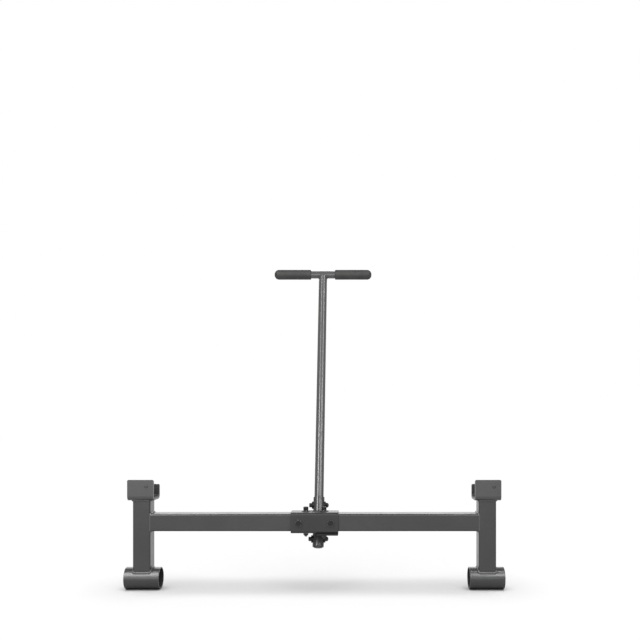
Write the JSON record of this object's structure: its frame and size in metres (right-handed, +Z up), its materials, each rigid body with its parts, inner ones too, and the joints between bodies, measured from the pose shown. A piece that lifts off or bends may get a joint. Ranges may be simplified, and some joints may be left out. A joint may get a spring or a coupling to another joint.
{
  "type": "deadlift jack",
  "caption": "Lever jack that rocks back on round feet to lift a loaded barbell off the floor in two lined saddles.",
  "frame": {"origin": "on the floor, midway between the two feet, in the vertical plane through the posts' axes", "axes": "+X along the barbell to the right, +Y away from the lifter's side towards the leaning lever, +Z up"},
  "size_m": [1.1016, 0.4344, 1.0023],
  "materials": {
    "frame_coat": "satin powder coat, dark grey",
    "lever_coat": "satin powder coat, dark grey, smooth",
    "rivet_coat": "powder coated with the saddle",
    "black_fastener": "black oxide",
    "washer_plastic": "moulded black nylon",
    "plug_plastic": "moulded black polyethylene",
    "liner_plastic": "matt black polyethylene sheet",
    "grip_rubber": "dark grey moulded rubber"
  },
  "bodies": {
    "root": {"left_foot_tube": "frame_coat", "left_foot_weld": "frame_coat", "left_post": "frame_coat", "left_cross_tube": "frame_coat", "left_cross_weld": "frame_coat", "left_saddle": "frame_coat", "left_saddle_weld": "frame_coat", "left_saddle_liner": "liner_plastic", "left_liner_rivets": "rivet_coat", "left_frame_bolt": "black_fastener", "left_frame_nut": "black_fastener", "left_clamp_screw": "black_fastener", "left_clamp_nut": "black_fastener", "left_socket_cheek": "frame_coat", "left_grip": "grip_rubber", "right_foot_tube": "frame_coat", "right_foot_weld": "frame_coat", "right_post": "frame_coat", "right_cross_tube": "frame_coat", "right_cross_weld": "frame_coat", "right_saddle": "frame_coat", "right_saddle_weld": "frame_coat", "right_saddle_liner": "liner_plastic", "right_liner_rivets": "rivet_coat", "right_frame_bolt": "black_fastener", "right_frame_nut": "black_fastener", "right_clamp_screw": "black_fastener", "right_clamp_nut": "black_fastener", "right_socket_cheek": "frame_coat", "right_grip": "grip_rubber", "frame_bolt_washers": "black_fastener", "clamp_screw_washers": "black_fastener", "centre_sleeve": "frame_coat", "packing_plate": "frame_coat", "lever_socket": "lever_coat", "socket_welds": "frame_coat", "lower_saddle_washers": "washer_plastic", "lower_socket_screw": "black_fastener", "lower_socket_nut": "black_fastener", "upper_saddle_washers": "washer_plastic", "upper_socket_screw": "black_fastener", "upper_socket_nut": "black_fastener", "lever_tube": "lever_coat", "lever_end_plug": "plug_plastic", "t_bar": "lever_coat", "t_bar_weld": "lever_coat"}
  },
  "joints": []
}
